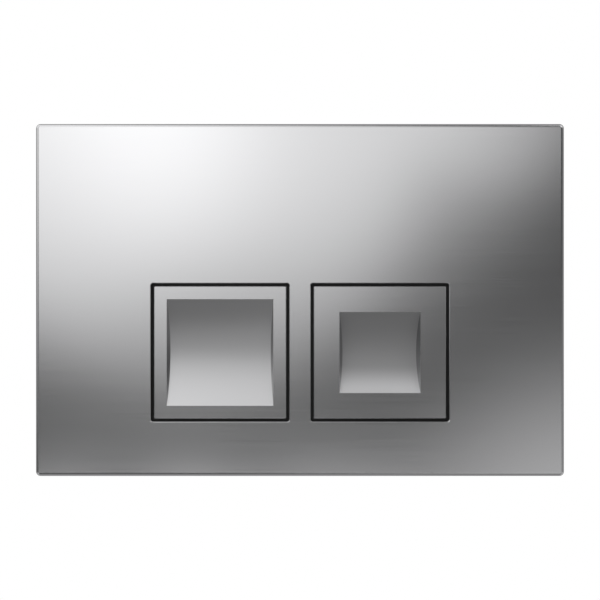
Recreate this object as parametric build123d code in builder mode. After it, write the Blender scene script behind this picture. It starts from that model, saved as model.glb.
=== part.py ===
from build123d import *
import os
from math import cos, radians, sin, tan

# Dual-flush button plate for a cistern that is built into the wall.
# A moulded, plated cover with two hinged buttons clips on a mounting frame. The frame is held by two
# distance bolts, and each button pushes a rod that works the flush valve behind it.
# Millimetres. X is to the right, Y goes into the wall and Z is up. The origin is the centre of the
# cover's outline, on the wall's surface.

# Driving dimensions: cover
plate_width = 246.0
plate_height = 164.0
plate_projection = 12.0
plate_face = 2.2
plate_skirt = 2.0
plate_corner = 2.0
plate_edge = 1.6
rib_thickness = 1.6
rib_depth = 4.0
upper_rib_height = 45.0
side_rib_offset = 3.0

# Driving dimensions: buttons and their finger recesses
button_size = 61.5
button_gap = 1.5
button_pitch = 74.4
lower_margin = 25.35
button_depth = 8.0
button_wall = 2.0
button_corner = 0.6
opening_corner = 1.0
edge_break = 0.3
full_recess_size = 49.6
full_recess_depth = 4.5
half_recess_size = 37.7
half_recess_depth = 5.5
recess_draft = 16.0
lip_reach = 2.3
lip_thickness = 1.2
lip_gap = 0.3
press_angle = 7.0

# Driving dimensions: button hinges
axle_diameter = 3.0
axle_rise = 6.05
axle_setback = 7.0
axle_overhang = 1.0
hinge_radius = 3.2
ear_spacing = 44.0
ear_thickness = 4.0
lug_thickness = 4.0
lug_side_gap = 0.4
lug_reach = 2.6
snap_slot = 2.4
running_clearance = 0.05
fixed_clearance = 0.02

# Driving dimensions: return springs
spring_wire = 0.8
spring_bore_gap = 0.3
spring_turns = 2
spring_pitch = 1.6
spring_leg = 8.5
spring_seat_width = 4.0
spring_seat_height = 3.5
seat_gap = 0.1

# Driving dimensions: stop tabs and their rubber buffers
tab_pitch = 40.0
tab_width = 8.0
tab_reach = 7.4
tab_thickness = 2.0
buffer_width = 6.0
buffer_height = 4.0
buffer_thickness = 1.0

# Driving dimensions: push rods, caps and guide bushes
rod_offset = 9.6
rod_diameter = 8.0
rod_reach = 70.0
tip_diameter = 6.0
tip_length = 12.0
boss_diameter = 8.0
boss_reach = 12.5
cap_width = 14.0
cap_length = 8.0
cap_socket = 5.0
bush_diameter = 13.0
bush_flange_width = 17.0
bush_flange = 2.0
bush_length = 14.0
bush_running_gap = 0.6

# Driving dimensions: mounting frame
frame_wall = 2.0
flange_thickness = 3.0
flange_gap = 7.0
flange_side = 14.0
flange_end = 7.0
collar_corner = 4.0
crossbar_height = 22.0
crossbar_thickness = 3.0
crossbar_rib = 4.0
bolt_inset = 14.0
lobe_radius = 13.0
lobe_thickness = 3.0
lobe_front = 8.0
gusset_reach = 9.0
gusset_offset = 9.0

# Driving dimensions: snap hooks of the cover
hook_inset = 14.0
hook_width = 12.0
hook_thickness = 2.0
hook_gap = 0.4
hook_nose = 1.8
hook_catch = 3.6
hook_tip = 8.4
hook_play = 0.3

# Driving dimensions: distance bolts and their lock nuts
bolt_head_width = 17.0
bolt_head = 5.0
bolt_slot_width = 2.0
bolt_slot_depth = 2.0
bolt_shoulder_diameter = 12.0
bolt_thread_diameter = 10.0
bolt_reach = 56.0
nut_width = 17.0
nut_thickness = 4.0

# Levels across the wall, and places on the face, that several pieces share
face_front = -plate_projection
face_back = face_front + plate_face
opening_size = button_size + 2 * button_gap
button_z = lower_margin + opening_size / 2 - plate_height / 2
button_top = button_z + button_size / 2
button_bottom = button_z - button_size / 2
button_back = face_front + button_depth
full_x = -button_pitch / 2
half_x = button_pitch / 2
rod_z = button_z - rod_offset

# Hinge line of both buttons
axle_radius = axle_diameter / 2
axle_y = face_front + axle_setback
axle_z = button_top + axle_rise
lug_offset = ear_spacing / 2 + ear_thickness / 2 + lug_side_gap + lug_thickness / 2
lug_end = axle_y + lug_reach
axle_length = 2 * lug_offset + lug_thickness + 2 * axle_overhang

# Return spring: coil round the axle, both legs on its rear side
coil_radius = axle_radius + spring_bore_gap + spring_wire / 2
coil_length = spring_turns * spring_pitch
leg_y = axle_y + coil_radius
seat_y = leg_y - spring_wire / 2 - seat_gap

# Stop tabs bear on the rear of the cover through their buffers
tab_front = face_back + seat_gap + buffer_thickness
buffer_z = button_bottom - (lip_reach + tab_reach) / 2

# Push rods: the lower edge of the boss drives the flat end of the cap as the button tilts
rod_radius = rod_diameter / 2
boss_back = face_front + boss_reach
cap_front = boss_back + seat_gap
cap_back = cap_front + cap_length
boss_setback = boss_back - axle_y
press_lever = axle_z - rod_z + boss_diameter / 2
press_tilt = radians(press_angle)
rod_travel = press_lever * sin(press_tilt) - boss_setback * (1 - cos(press_tilt))
bush_front = cap_back + rod_travel + bush_running_gap
crossbar_front = bush_front + bush_flange
collar_depth = crossbar_front + crossbar_thickness

# Mounting frame: flange inside the cover's skirt, and the window that the cover's snap hooks reach into
inner_width = plate_width - 2 * plate_skirt
inner_height = plate_height - 2 * plate_skirt
flange_width = inner_width - 2 * flange_gap
flange_height = inner_height - 2 * flange_gap
collar_width = flange_width - 2 * flange_side
collar_height = flange_height - 2 * flange_end
window_width = collar_width - 2 * frame_wall
window_height = collar_height - 2 * frame_wall
bolt_pitch = window_width - 2 * bolt_inset
hook_pitch = window_width - 2 * hook_inset
hook_outer = window_height / 2 - hook_gap

# Distance bolts: the shoulder passes the frame's lobe and the lock nut
lobe_back = lobe_front + lobe_thickness
nut_back = lobe_back + nut_thickness


def plane_at(depth):
    """The plane parallel to the wall at Y = depth: X to its right, Z up, its normal to the room."""
    return Plane.XZ.offset(-depth)


def turning_plane(x, z):
    """The plane in which a turned piece's half section is drawn: its local x runs into the wall."""
    return Plane(origin=(x, 0, z), x_dir=(0, 1, 0), z_dir=(1, 0, 0))


def turning_axis(x, z):
    """The axis of a turned piece that points into the wall."""
    return Axis((x, 0, z), (0, 1, 0))


def write(builder, label):
    """Names a finished piece and writes it to its own file."""
    builder.part.label = label
    export_step(builder.part, f"parts/{label}.step")


def make_scoop(centre_x, size, radius, depth):
    """A trough across X with drafted ends: the hollow of a finger recess, or the wall behind it."""
    floor_size = size - 2 * depth * tan(radians(recess_draft))
    with BuildPart() as scoop:
        for level, width in ((face_front, size), (face_front + depth, floor_size)):
            with BuildSketch(plane_at(level)):
                with Locations((centre_x, button_z)):
                    Rectangle(width, size)
        loft(ruled=True)
        with BuildSketch(Plane.YZ.offset(centre_x - size / 2)):
            with Locations((face_front + depth - radius, button_z)):
                Circle(radius)
        extrude(amount=size, mode=Mode.INTERSECT)
    return scoop.part


def make_button(centre_x, recess_size, recess_depth):
    """A button: shell with a lip behind the cover, recess, ears, spring seat, stop tabs and boss."""
    radius = (recess_size**2 / 4 + recess_depth**2) / (2 * recess_depth)
    backing_size = recess_size + 2 * button_wall
    hollow = make_scoop(centre_x, recess_size, radius, recess_depth)
    backing = make_scoop(centre_x, backing_size, radius + button_wall, recess_depth + button_wall)
    ear_x = [centre_x + side * ear_spacing / 2 - ear_thickness / 2 for side in (-1, 1)]
    ear_front = axle_y - hinge_radius
    ear_root = button_top - button_wall
    with BuildPart() as button:
        with BuildSketch(plane_at(face_front)):
            with Locations((centre_x, button_z)):
                RectangleRounded(button_size, button_size, button_corner)
        extrude(amount=-button_depth)
        chamfer(button.faces().sort_by(Axis.Y)[0].edges(), edge_break)
        with BuildSketch(plane_at(face_back + lip_gap)):
            with Locations((centre_x, button_z)):
                Rectangle(button_size + 2 * lip_reach, button_size + 2 * lip_reach)
        extrude(amount=-lip_thickness)
        with BuildSketch(plane_at(face_front + button_wall)):
            with Locations((centre_x, button_z)):
                Rectangle(button_size - 2 * button_wall, button_size - 2 * button_wall)
        extrude(amount=button_wall - button_depth, mode=Mode.SUBTRACT)
        add(backing)
        with BuildSketch(plane_at(face_front + button_wall / 2)):
            with Locations((centre_x, rod_z)):
                Circle(boss_diameter / 2)
        extrude(amount=button_wall / 2 - boss_reach)
        add(hollow, mode=Mode.SUBTRACT)
        with BuildSketch(*[Plane.YZ.offset(x) for x in ear_x]):
            with Locations((axle_y, axle_z)):
                Circle(hinge_radius)
            with Locations(((ear_front + button_back) / 2, (ear_root + axle_z) / 2)):
                Rectangle(button_back - ear_front, axle_z - ear_root)
            with Locations((axle_y, axle_z)):
                Circle(axle_radius + running_clearance, mode=Mode.SUBTRACT)
        extrude(amount=ear_thickness)
        with BuildSketch(plane_at(button_back)):
            with Locations((centre_x + coil_length / 2, button_top - button_wall / 2)):
                Rectangle(spring_seat_width, button_wall)
        extrude(amount=button_back - seat_y)
        with BuildSketch(plane_at(tab_front)):
            with Locations((centre_x, button_bottom + (button_wall - tab_reach) / 2)):
                with GridLocations(tab_pitch, 0, 2, 1):
                    Rectangle(tab_width, tab_reach + button_wall)
        extrude(amount=-tab_thickness)
    return button


def make_axle(centre_x):
    """The steel pin that a button turns on, held in the cover's two snap lugs."""
    with BuildPart() as axle:
        with BuildSketch(Plane.YZ.offset(centre_x - axle_length / 2)):
            with Locations((axle_y, axle_z)):
                Circle(axle_radius)
        extrude(amount=axle_length)
    return axle


def make_return_spring(centre_x):
    """A torsion spring: its upper leg bears on the cover's post, its lower leg on the button's seat."""
    place = Plane(origin=(centre_x - coil_length / 2, axle_y, axle_z), x_dir=(0, 1, 0), z_dir=(1, 0, 0))
    with BuildPart() as coil:
        with BuildLine():
            Line((coil_radius, spring_leg), (coil_radius, 0))
            Helix(spring_pitch, coil_length, coil_radius, lefthand=True)
            Line((coil_radius, 0, coil_length), (coil_radius, -spring_leg, coil_length))
        with BuildSketch(Plane.XZ.offset(-spring_leg)):
            with Locations((coil_radius, 0)):
                RegularPolygon(spring_wire / 2, 6)
        sweep()
    with BuildPart() as spring:
        with Locations(place.location):
            add(coil.part)
    return spring


def make_buffers(centre_x):
    """The two rubber pads on a button's stop tabs."""
    with BuildPart() as buffers:
        with BuildSketch(plane_at(tab_front)):
            with Locations((centre_x, buffer_z)):
                with GridLocations(tab_pitch, 0, 2, 1):
                    Rectangle(buffer_width, buffer_height)
        extrude(amount=buffer_thickness)
    return buffers


def make_push_rod(x):
    """A rod that passes its guide bush and ends in the spigot for the flush lever."""
    rod_front = cap_back - cap_socket
    tip_front = rod_reach - tip_length
    with BuildPart() as rod:
        with BuildSketch(turning_plane(x, rod_z)):
            with BuildLine():
                Polyline(
                    (rod_front, 0),
                    (rod_front, rod_radius),
                    (tip_front, rod_radius),
                    (tip_front, tip_diameter / 2),
                    (rod_reach, tip_diameter / 2),
                    (rod_reach, 0),
                    close=True,
                )
            make_face()
        revolve(axis=turning_axis(x, rod_z))
    return rod


def make_rod_cap(x):
    """The hexagon cap on a rod's front end, which the button's boss pushes."""
    with BuildPart() as cap:
        with BuildSketch(plane_at(cap_front)):
            with Locations((x, rod_z)):
                RegularPolygon(cap_width / 2, 6, major_radius=False)
        extrude(amount=-cap_length)
        with BuildSketch(plane_at(cap_back)):
            with Locations((x, rod_z)):
                Circle(rod_radius + fixed_clearance)
        extrude(amount=cap_socket, mode=Mode.SUBTRACT)
    return cap


def make_guide_bush(x):
    """The bush in the frame's crossbar that guides a push rod, with a square flange."""
    with BuildPart() as bush:
        with BuildSketch(plane_at(bush_front)):
            with Locations((x, rod_z)):
                Rectangle(bush_flange_width, bush_flange_width)
        extrude(amount=-bush_flange)
        with BuildSketch(plane_at(crossbar_front)):
            with Locations((x, rod_z)):
                Circle(bush_diameter / 2)
        extrude(amount=bush_flange - bush_length)
        with BuildSketch(plane_at(bush_front)):
            with Locations((x, rod_z)):
                Circle(rod_radius + running_clearance)
        extrude(amount=-bush_length, mode=Mode.SUBTRACT)
    return bush


def make_distance_bolt(x):
    """A plastic bolt with a hexagon head and a screwdriver slot."""
    head_front = lobe_front - bolt_head
    with BuildPart() as bolt:
        with BuildSketch(plane_at(head_front)):
            with Locations((x, 0)):
                RegularPolygon(bolt_head_width / 2, 6, major_radius=False)
        extrude(amount=-bolt_head)
        with BuildSketch(plane_at(head_front)):
            with Locations((x, 0)):
                Rectangle(2 * bolt_head_width, bolt_slot_width)
        extrude(amount=-bolt_slot_depth, mode=Mode.SUBTRACT)
        with BuildSketch(plane_at(lobe_front)):
            with Locations((x, 0)):
                Circle(bolt_shoulder_diameter / 2)
        extrude(amount=lobe_front - nut_back)
        with BuildSketch(plane_at(nut_back)):
            with Locations((x, 0)):
                Circle(bolt_thread_diameter / 2)
        extrude(amount=nut_back - bolt_reach)
    return bolt


def make_lock_nut(x):
    """The hexagon nut that locks a distance bolt to the frame."""
    with BuildPart() as nut:
        with BuildSketch(plane_at(lobe_back)):
            with Locations((x, 0)):
                RegularPolygon(nut_width / 2, 6, major_radius=False)
                Circle(bolt_shoulder_diameter / 2 + fixed_clearance, mode=Mode.SUBTRACT)
        extrude(amount=-nut_thickness)
    return nut


def hook_profile(side):
    """Outline of a snap hook in the YZ plane: side is 1 for the upper hooks and -1 for the lower."""
    inner = side * (hook_outer - hook_thickness)
    outer = side * hook_outer
    nose = side * (hook_outer + hook_nose)
    return [
        (face_back, inner),
        (face_back, outer),
        (hook_catch, outer),
        (hook_catch, nose),
        (hook_tip, outer),
        (hook_tip, inner),
    ]


# Cover: face, skirt, openings, ribs, hinge lugs, spring posts and snap hooks in one moulding
side_rib_x = button_pitch / 2 + opening_size / 2 + side_rib_offset
post_z = axle_z + spring_leg - spring_seat_height / 2
lug_x = [x + side * lug_offset - lug_thickness / 2 for x in (full_x, half_x) for side in (-1, 1)]
hook_x = [side * hook_pitch / 2 - hook_width / 2 for side in (-1, 1)]
with BuildPart() as front_plate:
    with BuildSketch(plane_at(face_front)):
        RectangleRounded(plate_width, plate_height, plate_corner)
    extrude(amount=-plate_projection)
    fillet(front_plate.faces().sort_by(Axis.Y)[0].edges(), plate_edge)
    with BuildSketch(plane_at(face_back)):
        Rectangle(inner_width, inner_height)
    extrude(amount=plate_face - plate_projection, mode=Mode.SUBTRACT)
    with BuildSketch(plane_at(face_front)):
        with Locations((full_x, button_z), (half_x, button_z)):
            RectangleRounded(opening_size, opening_size, opening_corner)
    extrude(amount=-plate_face, mode=Mode.SUBTRACT)
    chamfer(front_plate.faces().sort_by(Axis.Y)[0].inner_wires().edges(), edge_break)
    with BuildSketch(plane_at(face_back)):
        with Locations((0, upper_rib_height)):
            Rectangle(inner_width, rib_thickness)
        with GridLocations(side_rib_x, 0, 3, 1):
            Rectangle(rib_thickness, inner_height)
    extrude(amount=-rib_depth)
    with BuildSketch(*[Plane.YZ.offset(x) for x in lug_x]):
        with Locations(((face_back + lug_end) / 2, axle_z)):
            Rectangle(lug_end - face_back, 2 * hinge_radius)
        with Locations((axle_y, axle_z)):
            Circle(axle_radius + fixed_clearance, mode=Mode.SUBTRACT)
        with Locations(((axle_y + lug_end) / 2, axle_z)):
            Rectangle(lug_reach, snap_slot, mode=Mode.SUBTRACT)
    extrude(amount=lug_thickness)
    with BuildSketch(plane_at(face_back)):
        with Locations((full_x - coil_length / 2, post_z), (half_x - coil_length / 2, post_z)):
            Rectangle(spring_seat_width, spring_seat_height)
    extrude(amount=face_back - seat_y)
    with BuildSketch(*[Plane.YZ.offset(x) for x in hook_x]):
        Polygon(*hook_profile(1), align=None)
        Polygon(*hook_profile(-1), align=None)
    extrude(amount=hook_width)

# Mounting frame: flange on the wall, collar in the opening, crossbar for the rods and lobes for the bolts
slot_length = hook_tip - hook_catch + 2 * hook_play
with BuildPart() as mounting_frame:
    with BuildSketch(plane_at(-flange_thickness)):
        RectangleRounded(flange_width, flange_height, collar_corner)
    extrude(amount=-flange_thickness)
    with BuildSketch(plane_at(0)):
        RectangleRounded(collar_width, collar_height, collar_corner)
    extrude(amount=-collar_depth)
    with BuildSketch(plane_at(-flange_thickness)):
        Rectangle(window_width, window_height)
    extrude(amount=-flange_thickness - collar_depth, mode=Mode.SUBTRACT)
    with BuildSketch(plane_at(crossbar_front)):
        with Locations((0, rod_z)):
            Rectangle(window_width, crossbar_height)
    extrude(amount=-crossbar_thickness)
    with BuildSketch(plane_at(crossbar_front)):
        with Locations((0, rod_z)):
            with GridLocations(0, crossbar_height - rib_thickness, 1, 2):
                Rectangle(window_width, rib_thickness)
    extrude(amount=crossbar_rib)
    with BuildSketch(plane_at(crossbar_front)):
        with Locations((full_x, rod_z), (half_x, rod_z)):
            Circle(bush_diameter / 2 + fixed_clearance)
    extrude(amount=-crossbar_thickness, mode=Mode.SUBTRACT)
    gusset_planes = [Plane.XY.offset(z - rib_thickness / 2) for z in (-gusset_offset, gusset_offset)]
    for side in (-1, 1):
        bolt_x = side * bolt_pitch / 2
        wall_x = side * window_width / 2
        with BuildSketch(plane_at(lobe_front)):
            with Locations((bolt_x, 0)):
                Circle(lobe_radius)
            with Locations(((bolt_x + wall_x) / 2, 0)):
                Rectangle(abs(wall_x - bolt_x), 2 * lobe_radius)
            with Locations((bolt_x, 0)):
                Circle(bolt_shoulder_diameter / 2 + running_clearance, mode=Mode.SUBTRACT)
        extrude(amount=-lobe_thickness)
        with BuildSketch(*gusset_planes):
            Polygon(
                (wall_x, lobe_back),
                (wall_x - side * gusset_reach, lobe_back),
                (wall_x, lobe_back + gusset_reach),
                align=None,
            )
        extrude(amount=rib_thickness)
        with BuildSketch(Plane.XY.offset(side * collar_height / 2)):
            with GridLocations(hook_pitch, 0, 2, 1):
                with Locations((0, (hook_catch + hook_tip) / 2)):
                    Rectangle(hook_width + 2 * hook_play, slot_length)
        extrude(amount=-side * frame_wall, mode=Mode.SUBTRACT)

os.makedirs("parts", exist_ok=True)
write(front_plate, "front_plate")
write(mounting_frame, "mounting_frame")
flushes = [
    ("full_flush", full_x, full_recess_size, full_recess_depth),
    ("half_flush", half_x, half_recess_size, half_recess_depth),
]
for flush, centre_x, recess_size, recess_depth in flushes:
    write(make_button(centre_x, recess_size, recess_depth), f"{flush}_button")
    write(make_axle(centre_x), f"{flush}_axle")
    write(make_return_spring(centre_x), f"{flush}_return_spring")
    write(make_buffers(centre_x), f"{flush}_stop_buffers")
    write(make_push_rod(centre_x), f"{flush}_push_rod")
    write(make_rod_cap(centre_x), f"{flush}_rod_cap")
    write(make_guide_bush(centre_x), f"{flush}_guide_bush")
for hand, side in (("left", -1), ("right", 1)):
    write(make_distance_bolt(side * bolt_pitch / 2), f"{hand}_distance_bolt")
    write(make_lock_nut(side * bolt_pitch / 2), f"{hand}_lock_nut")
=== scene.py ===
from math import cos, pi, radians, sin

import bmesh
import bpy
from bpy.props import FloatProperty, FloatVectorProperty, IntProperty, PointerProperty
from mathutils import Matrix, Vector


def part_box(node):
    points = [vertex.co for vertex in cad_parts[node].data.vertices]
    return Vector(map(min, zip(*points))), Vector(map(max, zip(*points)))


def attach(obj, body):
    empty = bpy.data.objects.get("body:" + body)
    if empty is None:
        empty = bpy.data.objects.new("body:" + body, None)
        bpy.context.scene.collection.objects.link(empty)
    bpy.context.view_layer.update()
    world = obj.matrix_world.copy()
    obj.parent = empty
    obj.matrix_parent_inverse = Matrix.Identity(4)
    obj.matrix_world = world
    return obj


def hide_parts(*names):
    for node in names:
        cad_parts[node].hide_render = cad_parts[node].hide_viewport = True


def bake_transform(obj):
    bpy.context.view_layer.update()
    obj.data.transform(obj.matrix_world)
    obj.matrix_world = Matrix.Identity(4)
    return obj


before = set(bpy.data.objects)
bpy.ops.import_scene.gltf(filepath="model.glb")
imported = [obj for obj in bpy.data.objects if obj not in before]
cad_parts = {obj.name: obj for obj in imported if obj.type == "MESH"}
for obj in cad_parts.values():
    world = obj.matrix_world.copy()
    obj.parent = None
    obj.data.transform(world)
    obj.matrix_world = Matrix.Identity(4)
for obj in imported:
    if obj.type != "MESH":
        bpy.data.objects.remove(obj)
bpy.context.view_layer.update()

bl_info = {
    "name": "Flush Button Plate",
    "version": (1, 0, 0),
    "blender": (4, 5, 0),
    "location": "View3D > Sidebar > Flush Plate",
    "description": "Finishes a dual-flush button plate and sets it in a plain studio",
    "category": "Object",
}

# The body that stays on the wall, the two flushes and the two sides
COVER_BODY = "cover_and_frame"
FLUSHES = ("full", "half")
HANDS = ("left", "right")

# Places taken from the frame, in metres
COVER_LOW, COVER_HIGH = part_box("front_plate")
FACE_Y = COVER_LOW.y

# Kinds of socket in a node group
NUMBER = "NodeSocketFloat"
COUNT = "NodeSocketInt"
VECTOR = "NodeSocketVector"
MATERIAL = "NodeSocketMaterial"
GEOMETRY = "NodeSocketGeometry"

# Places on the plating, in metres: how deep the painted shade in the gap round a button reaches,
# and how far the middle of a finger recess lies below the button's axle
GAP_SHADE_DEPTH = 0.006
RECESS_BELOW_AXLE = 0.0368

# Painted light and shade in a recess: where its plating is painted lightest and where its painted shade
# begins, below its middle, as shares of its half height
RECESS_LIGHT_SHARES = (0.95, 0.3)

# The most that a face may point to the wall, from -1 for the room to 1 for the wall,
# to count as the inside of a recess, as its floor and as plastic in a gap painted with shade
RECESS_FACING = -0.1
FLOOR_FACING = -0.6
GAP_SHADE_FACING = 0.5

# Fine lines and grain: sizes in metres, then how far they raise the surface and how strongly
PLATING_LINES = {"line_width": 0.00035, "line_length": 0.06}
STEEL_LINES = {"line_width": 0.0002, "line_length": 0.01}
MOULDING_GRAIN = {"grain_size": 0.0005, "flow_size": 0.03}
PLASTIC_FLOW = 0.015
PLATING_BUMP = (0.00002, 0.04)
PLASTIC_BUMP = 0.00004

# How much lines and grain change a finish: tone of the darker parts, spread of the roughness to both
# sides or its least and most, and the values of a noise that give the least and the most
PLATING_SHADE = 0.96
PLASTIC_SHADE = 0.9
STEEL_SHADE = 0.85
PLATING_SPREAD = 0.012
PLAIN_SPREAD = 0.06
BARE_ROUGHNESS = (0.5, 0.62)
LINE_VALUES = (0.2, 0.8)
NOISE_VALUES = (0.3, 0.7)

# Sides of the spring wire and of a shaft, rings along a shaft, and the section of a groove over one
# pitch, which is the slope of its flanks and its level in the middle, cut off at 0 and 1
WIRE_SIDES = 12
SHAFT_SIDES = 48
ROD_RINGS = 300
BOLT_RINGS = 260
GROOVE_SLOPE = -1.7
GROOVE_LEVEL = 1.35

# Lengths of the rods and bolts, in metres; the margin and the run-in stay plain
ROD_TIP_LENGTH = 0.012
ROD_TIP_RADIUS = 0.003
ROD_TIP_BEVEL = 0.0005
GROOVE_MARGIN = 0.001
BOLT_RADIUS = 0.005
BOLT_END = 0.001
THREAD_RUN_IN = 0.002

# Points closer than the first two distances are joined, a bolt's faces further than the margin behind
# its shoulder are its shank, and edges sharper than the crease stay sharp
SEAM_DISTANCE = 1e-6
MERGE_DISTANCE = 2e-6
SHANK_MARGIN = 1e-5
CREASE = radians(35)

# The floor: sides, tone, roughness and the share of its radius where it starts to fade
FLOOR_SIDES = 96
FLOOR_TONE = 0.9
FLOOR_ROUGHNESS = 0.9
FLOOR_FADE = 0.5

# Soft lights on the tent's cloth: name, bearing and height of the middle, angles of the full light
# and of its outer edge from the middle, all in degrees, and strength. A shade takes light away
TENT_LIGHTS = (
    ("key", -0.6, 14.3, 0.9, 18.1, 0.56),
    ("key left", -16.4, 10.9, 0.1, 16.9, 0.63),
    ("key right", 11.9, 11.9, 5.2, 5.4, 0.43),
    ("key spread", -6.7, 8.3, 12.7, 14.5, 0.40),
    ("low right", 19.1, -17.8, 0.1, 17.0, 0.58),
    ("low middle", 1.7, -16.1, 5.8, 6.6, 0.48),
    ("low left", -7.0, -14.2, 2.3, 4.6, 0.78),
    ("upper left", -60.7, 39.1, 26.0, 53.0, 0.78),
    ("top", -6.0, 39.5, 13.2, 19.4, 0.50),
    ("upper right", 50.8, 40.4, 21.8, 22.9, 0.95),
    ("low corner", -14.7, -13.8, 3.0, 4.0, 0.66),
    ("below", 0.0, -61.6, 14.5, 32.8, 0.13),
    ("below right", 14.5, -35.5, 5.9, 14.1, 0.11),
    ("near left", -44.0, -23.0, 8.0, 21.0, 0.30),
    ("near right", 46.6, -17.0, 8.0, 21.8, 0.30),
    ("lower left", -75.9, -39.1, 12.0, 30.4, 0.40),
    ("lower right", 76.7, -40.1, 12.0, 30.8, 0.40),
    ("far right", 87.5, 31.3, 12.0, 24.9, 0.15),
    ("rear", 180.0, 5.0, 20.0, 45.0, 0.12),
    ("left shade", -82.8, -9.8, 13.9, 35.3, -0.22),
)

# The cloth is darkest round the camera, up to the first angle in degrees, and plain from the second
# one on
DARK_ANGLES = (38.0, 93.8)

# How often the sphere of the tent is divided
TENT_SUBDIVISIONS = 4

# Lamps: name, place and size in metres, and power in watts
LAMPS = (
    ("Key lamp", (-0.7, -1.0, 0.9), 0.9, 11),
    ("Fill lamp", (0.9, -0.8, 0.1), 0.9, 4),
    ("Rear lamp", (0.6, 1.1, 0.8), 0.9, 10),
    ("Rear fill lamp", (-0.9, 0.9, 0.2), 0.9, 5),
)


def centre_of(node):
    """The middle of a CAD node's box."""
    low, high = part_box(node)
    return (low + high) / 2


# Sizes and finishes that a user would change


class FLUSHPLATE_PG_finish(bpy.types.PropertyGroup):
    """Colours and surface qualities of the plate's finishes."""

    chrome: FloatVectorProperty(
        name="Chrome", description="Colour of the satin plating", subtype="COLOR",
        default=(0.74, 0.74, 0.75), min=0, max=1)
    chrome_roughness: FloatProperty(
        name="Face roughness", description="Roughness of the plated faces",
        subtype="FACTOR", default=0.171, min=0, max=1)
    full_roughness: FloatProperty(
        name="Full flush recess roughness", description="Roughness of the plating in the large recess",
        subtype="FACTOR", default=0.371, min=0, max=1)
    half_roughness: FloatProperty(
        name="Half flush recess roughness", description="Roughness of the plating in the small recess",
        subtype="FACTOR", default=0.585, min=0, max=1)
    # Painted shade: the large recess's plating is painted darker than the face
    full_tone: FloatProperty(
        name="Full flush recess tone",
        description="Brightness of the large recess's plating beside the face",
        subtype="FACTOR", default=0.82, min=0, max=1)
    # Painted light: the large recess's plating is painted lighter towards its bottom
    full_recess_light: FloatProperty(
        name="Full flush recess polish", description="Brightness where fingers polish the large recess",
        subtype="FACTOR", default=0.98, min=0, max=1)
    # Painted shade: the small recess's plating is painted darker than the face and than the large
    # recess's
    half_tone: FloatProperty(
        name="Half flush recess tone",
        description="Brightness of the small recess's plating beside the face",
        subtype="FACTOR", default=0.575, min=0, max=1)
    # Painted light: the small recess's plating is painted lighter towards its bottom
    half_recess_light: FloatProperty(
        name="Half flush recess polish", description="Brightness where fingers polish the small recess",
        subtype="FACTOR", default=1.0, min=0, max=1)
    # Painted shade: a recess's side walls are painted darker than the face
    wall_tone: FloatProperty(
        name="Recess wall tone", description="Brightness of a recess's side walls beside the face",
        subtype="FACTOR", default=0.55, min=0, max=1)
    plating_depth: FloatProperty(
        name="Plating depth", description="How far the plating reaches round an edge of the face",
        unit="LENGTH", default=0.0008, min=0)
    moulding: FloatVectorProperty(
        name="Bare moulding", description="Colour of the unplated plastic behind the face",
        subtype="COLOR", default=(0.05, 0.051, 0.054), min=0, max=1)
    # Painted shade: a near-black colour painted on the plastic in the gap round a button, where shade
    # falls
    gap_shade: FloatVectorProperty(
        name="Painted gap shade", description="Colour of the plastic that shows in the gap round a button",
        subtype="COLOR", default=(0.005, 0.005, 0.005), min=0, max=1)
    full_recess: FloatProperty(
        name="Full flush recess", description="Width of the large finger recess",
        unit="LENGTH", default=0.0496, min=0)
    half_recess: FloatProperty(
        name="Half flush recess", description="Width of the small finger recess",
        unit="LENGTH", default=0.0377, min=0)
    frame_plastic: FloatVectorProperty(
        name="Frame plastic", description="Colour of the mounting frame", subtype="COLOR",
        default=(0.62, 0.63, 0.64), min=0, max=1)
    rod_plastic: FloatVectorProperty(
        name="Rod plastic", description="Colour of the push rods and their caps", subtype="COLOR",
        default=(0.80, 0.80, 0.77), min=0, max=1)
    bush_plastic: FloatVectorProperty(
        name="Bush plastic", description="Colour of the guide bushes", subtype="COLOR",
        default=(0.05, 0.052, 0.056), min=0, max=1)
    bolt_plastic: FloatVectorProperty(
        name="Bolt plastic", description="Colour of the distance bolts and lock nuts",
        subtype="COLOR", default=(0.20, 0.215, 0.23), min=0, max=1)
    steel: FloatVectorProperty(
        name="Steel", description="Colour of the axles and springs", subtype="COLOR",
        default=(0.56, 0.56, 0.57), min=0, max=1)
    rubber: FloatVectorProperty(
        name="Rubber", description="Colour of the stop buffers", subtype="COLOR",
        default=(0.018, 0.018, 0.018), min=0, max=1)


class FLUSHPLATE_PG_sizes(bpy.types.PropertyGroup):
    """Sizes of the threads, grooves and wound wire."""

    thread_pitch: FloatProperty(
        name="Thread pitch", description="Pitch of the distance bolts' thread",
        unit="LENGTH", default=0.0025, min=0.0005)
    thread_depth: FloatProperty(
        name="Thread depth", description="Depth of the distance bolts' thread",
        unit="LENGTH", default=0.0009, min=0)
    groove_pitch: FloatProperty(
        name="Groove pitch", description="Distance between the cut-off grooves of a push rod",
        unit="LENGTH", default=0.0025, min=0.0005)
    groove_depth: FloatProperty(
        name="Groove depth", description="Depth of a push rod's grooves",
        unit="LENGTH", default=0.0003, min=0)
    wire: FloatProperty(
        name="Wire", description="Diameter of the spring wire",
        unit="LENGTH", default=0.0008, min=0)
    spring_turns: IntProperty(
        name="Spring turns", description="Turns of a return spring's coil", default=2, min=1)
    spring_leg: FloatProperty(
        name="Spring leg", description="Length of a return spring's leg",
        unit="LENGTH", default=0.0085, min=0)


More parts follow.
